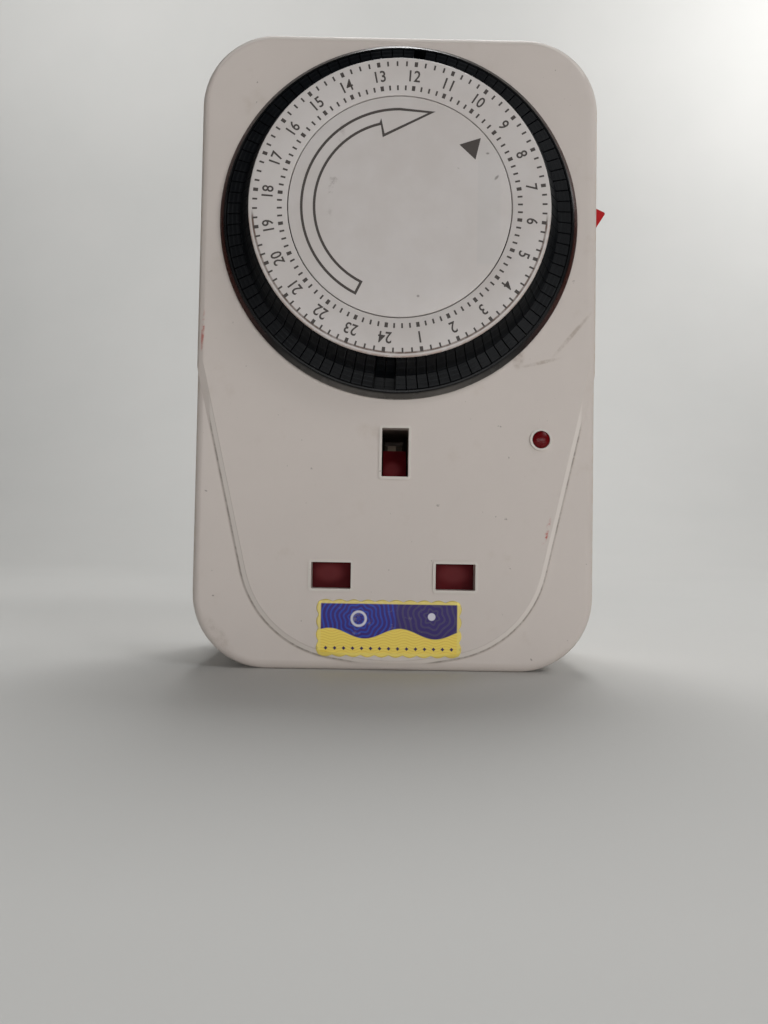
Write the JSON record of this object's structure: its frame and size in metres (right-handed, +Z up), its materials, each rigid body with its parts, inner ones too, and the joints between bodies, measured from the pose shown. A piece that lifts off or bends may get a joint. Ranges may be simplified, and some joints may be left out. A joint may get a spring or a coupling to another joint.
{
  "type": "plug-in segment timer",
  "caption": "Plug-in mains timer with a round dial of push-down segments round an hour ring, a side override switch, a neon and a shuttered three-hole socket.",
  "frame": {"origin": "on the flat rear face, in the middle of the plug-pin pattern: halfway in height between the earth pin and the two live pins, on the centre line between those two", "axes": "+X to the right and +Z up, seen from the front. The rear face and the plug pins point along +Y, so the face with the dial looks along -Y"},
  "size_m": [0.0752, 0.067, 0.116],
  "materials": {
    "case_grey": "warm light grey, fine satin texture",
    "dial_black": "black, moulded gloss",
    "tappet_black": "black, moulded gloss",
    "ring_white": "warm white, satin",
    "switch_red": "red, satin",
    "shutter_maroon": "dark maroon",
    "lens_red": "deep translucent red",
    "lamp_glass": "clear glass with an orange cast",
    "plated_brass": "nickel plate over brass",
    "contact_brass": "plain sprung brass",
    "sleeve_black": "black insulating sleeve",
    "screw_steel": "zinc-plated steel",
    "motor_steel": "zinc-plated can",
    "gear_nylon": "natural nylon",
    "plate_natural": "natural moulded plastic",
    "switch_body": "black phenolic",
    "block_grey": "grey heat-proof plastic"
  },
  "bodies": {
    "case": {"front_cover": "case_grey", "rear_cover": "case_grey", "cover_screws": "screw_steel", "pin_line": "plated_brass", "pin_neutral": "plated_brass", "pin_earth": "plated_brass", "sleeve_line": "sleeve_black", "sleeve_neutral": "sleeve_black", "mechanism_plate": "plate_natural", "plate_screws": "screw_steel", "gear_arbor": "screw_steel", "motor": "motor_steel", "centre_disc": "ring_white", "microswitch": "switch_body", "socket_block": "block_grey", "shutter_spring": "screw_steel", "contact_line": "contact_brass", "contact_neutral": "contact_brass", "contact_earth": "contact_brass", "earth_strip": "contact_brass", "neutral_strip": "contact_brass", "line_strip_in": "contact_brass", "line_strip_out": "contact_brass", "neon_lens": "lens_red", "neon_lamp": "lamp_glass", "neon_resistor": "switch_body"},
    "dial": {"dial_wheel": "dial_black", "hour_ring": "ring_white"},
    "reduction": {"reduction_gear": "gear_nylon"},
    "motor_shaft": {"motor_pinion": "gear_nylon"},
    "lever": {"follower_lever": "gear_nylon"},
    "plunger": {"switch_plunger": "switch_red"},
    "override": {"override_switch": "switch_red"},
    "socket_shutter": {"shutter": "shutter_maroon"},
    "tappets_hour_01": {"tappets_hour_01": "tappet_black"},
    "tappets_hour_02": {"tappets_hour_02": "tappet_black"},
    "tappets_hour_03": {"tappets_hour_03": "tappet_black"},
    "tappets_hour_04": {"tappets_hour_04": "tappet_black"},
    "tappets_hour_05": {"tappets_hour_05": "tappet_black"},
    "tappets_hour_06": {"tappets_hour_06": "tappet_black"},
    "tappets_hour_07": {"tappets_hour_07": "tappet_black"},
    "tappets_hour_08": {"tappets_hour_08": "tappet_black"},
    "tappets_hour_09": {"tappets_hour_09": "tappet_black"},
    "tappets_hour_10": {"tappets_hour_10": "tappet_black"},
    "tappets_hour_11": {"tappets_hour_11": "tappet_black"},
    "tappets_hour_12": {"tappets_hour_12": "tappet_black"},
    "tappets_hour_13": {"tappets_hour_13": "tappet_black"},
    "tappets_hour_14": {"tappets_hour_14": "tappet_black"},
    "tappets_hour_15": {"tappets_hour_15": "tappet_black"},
    "tappets_hour_16": {"tappets_hour_16": "tappet_black"},
    "tappets_hour_17": {"tappets_hour_17": "tappet_black"},
    "tappets_hour_18": {"tappets_hour_18": "tappet_black"},
    "tappets_hour_19": {"tappets_hour_19": "tappet_black"},
    "tappets_hour_20": {"tappets_hour_20": "tappet_black"},
    "tappets_hour_21": {"tappets_hour_21": "tappet_black"},
    "tappets_hour_22": {"tappets_hour_22": "tappet_black"},
    "tappets_hour_23": {"tappets_hour_23": "tappet_black"},
    "tappets_hour_24": {"tappets_hour_24": "tappet_black"},
    "pushed_tappets_12": {"pushed_tappets_12": "tappet_black"},
    "pushed_tappets_24": {"pushed_tappets_24": "tappet_black"}
  },
  "joints": [
    {"name": "dial_turn", "type": "hinge", "parent": "case", "child": "dial", "pos_m": [0, -0.037, -0.00392], "axis": [0, 1, 0], "continuous": true},
    {"name": "reduction_turn", "type": "hinge", "parent": "case", "child": "reduction", "pos_m": [-0.01563, -0.032, 0.00511], "axis": [0, 1, 0], "continuous": true},
    {"name": "motor_turn", "type": "hinge", "parent": "case", "child": "motor_shaft", "pos_m": [-0.00649, -0.031, 0.01038], "axis": [0, 1, 0], "continuous": true},
    {"name": "override_slide", "type": "slide", "parent": "case", "child": "override", "axis": [0, 0, -1], "range_m": [0, 0.0045]},
    {"name": "lever_turn", "type": "hinge", "parent": "case", "child": "lever", "pos_m": [0.019, -0.0302, -0.00392], "axis": [0, 0, 1], "range_deg": [0, 6.5]},
    {"name": "plunger_slide", "type": "slide", "parent": "case", "child": "plunger", "axis": [0, 1, 0], "range_m": [0, 0.00075], "stiffness_N_per_m": 100, "springref_m": -0.0005},
    {"name": "shutter_slide", "type": "slide", "parent": "case", "child": "socket_shutter", "axis": [0, 0, -1], "range_m": [0, 0.0052], "stiffness_N_per_m": 100, "springref_m": -0.004, "deforming": ["shutter_spring"]},
    {"name": "tappets_hour_01_slide", "type": "slide", "parent": "dial", "child": "tappets_hour_01", "axis": [0, 1, 0], "range_m": [0, 0.0024]},
    {"name": "tappets_hour_02_slide", "type": "slide", "parent": "dial", "child": "tappets_hour_02", "axis": [0, 1, 0], "range_m": [0, 0.0024]},
    {"name": "tappets_hour_03_slide", "type": "slide", "parent": "dial", "child": "tappets_hour_03", "axis": [0, 1, 0], "range_m": [0, 0.0024]},
    {"name": "tappets_hour_04_slide", "type": "slide", "parent": "dial", "child": "tappets_hour_04", "axis": [0, 1, 0], "range_m": [0, 0.0024]},
    {"name": "tappets_hour_05_slide", "type": "slide", "parent": "dial", "child": "tappets_hour_05", "axis": [0, 1, 0], "range_m": [0, 0.0024]},
    {"name": "tappets_hour_06_slide", "type": "slide", "parent": "dial", "child": "tappets_hour_06", "axis": [0, 1, 0], "range_m": [0, 0.0024]},
    {"name": "tappets_hour_07_slide", "type": "slide", "parent": "dial", "child": "tappets_hour_07", "axis": [0, 1, 0], "range_m": [0, 0.0024]},
    {"name": "tappets_hour_08_slide", "type": "slide", "parent": "dial", "child": "tappets_hour_08", "axis": [0, 1, 0], "range_m": [0, 0.0024]},
    {"name": "tappets_hour_09_slide", "type": "slide", "parent": "dial", "child": "tappets_hour_09", "axis": [0, 1, 0], "range_m": [0, 0.0024]},
    {"name": "tappets_hour_10_slide", "type": "slide", "parent": "dial", "child": "tappets_hour_10", "axis": [0, 1, 0], "range_m": [0, 0.0024]},
    {"name": "tappets_hour_11_slide", "type": "slide", "parent": "dial", "child": "tappets_hour_11", "axis": [0, 1, 0], "range_m": [0, 0.0024]},
    {"name": "tappets_hour_12_slide", "type": "slide", "parent": "dial", "child": "tappets_hour_12", "axis": [0, 1, 0], "range_m": [0, 0.0024]},
    {"name": "tappets_hour_13_slide", "type": "slide", "parent": "dial", "child": "tappets_hour_13", "axis": [0, 1, 0], "range_m": [0, 0.0024]},
    {"name": "tappets_hour_14_slide", "type": "slide", "parent": "dial", "child": "tappets_hour_14", "axis": [0, 1, 0], "range_m": [0, 0.0024]},
    {"name": "tappets_hour_15_slide", "type": "slide", "parent": "dial", "child": "tappets_hour_15", "axis": [0, 1, 0], "range_m": [0, 0.0024]},
    {"name": "tappets_hour_16_slide", "type": "slide", "parent": "dial", "child": "tappets_hour_16", "axis": [0, 1, 0], "range_m": [0, 0.0024]},
    {"name": "tappets_hour_17_slide", "type": "slide", "parent": "dial", "child": "tappets_hour_17", "axis": [0, 1, 0], "range_m": [0, 0.0024]},
    {"name": "tappets_hour_18_slide", "type": "slide", "parent": "dial", "child": "tappets_hour_18", "axis": [0, 1, 0], "range_m": [0, 0.0024]},
    {"name": "tappets_hour_19_slide", "type": "slide", "parent": "dial", "child": "tappets_hour_19", "axis": [0, 1, 0], "range_m": [0, 0.0024]},
    {"name": "tappets_hour_20_slide", "type": "slide", "parent": "dial", "child": "tappets_hour_20", "axis": [0, 1, 0], "range_m": [0, 0.0024]},
    {"name": "tappets_hour_21_slide", "type": "slide", "parent": "dial", "child": "tappets_hour_21", "axis": [0, 1, 0], "range_m": [0, 0.0024]},
    {"name": "tappets_hour_22_slide", "type": "slide", "parent": "dial", "child": "tappets_hour_22", "axis": [0, 1, 0], "range_m": [0, 0.0024]},
    {"name": "tappets_hour_23_slide", "type": "slide", "parent": "dial", "child": "tappets_hour_23", "axis": [0, 1, 0], "range_m": [0, 0.0024]},
    {"name": "tappets_hour_24_slide", "type": "slide", "parent": "dial", "child": "tappets_hour_24", "axis": [0, 1, 0], "range_m": [0, 0.0024]},
    {"name": "pushed_tappets_12_slide", "type": "slide", "parent": "dial", "child": "pushed_tappets_12", "axis": [0, 1, 0], "range_m": [-0.0024, 0]},
    {"name": "pushed_tappets_24_slide", "type": "slide", "parent": "dial", "child": "pushed_tappets_24", "axis": [0, 1, 0], "range_m": [-0.0024, 0]}
  ],
  "couplings": [
    {"joint": "reduction_turn", "follows": "dial_turn", "ratio": -3.5},
    {"joint": "motor_turn", "follows": "dial_turn", "ratio": 7},
    {"joint": "lever_turn", "follows": "override_slide", "rad_per_m": 25.21},
    {"joint": "plunger_slide", "follows": "override_slide", "ratio": 0.1666}
  ]
}
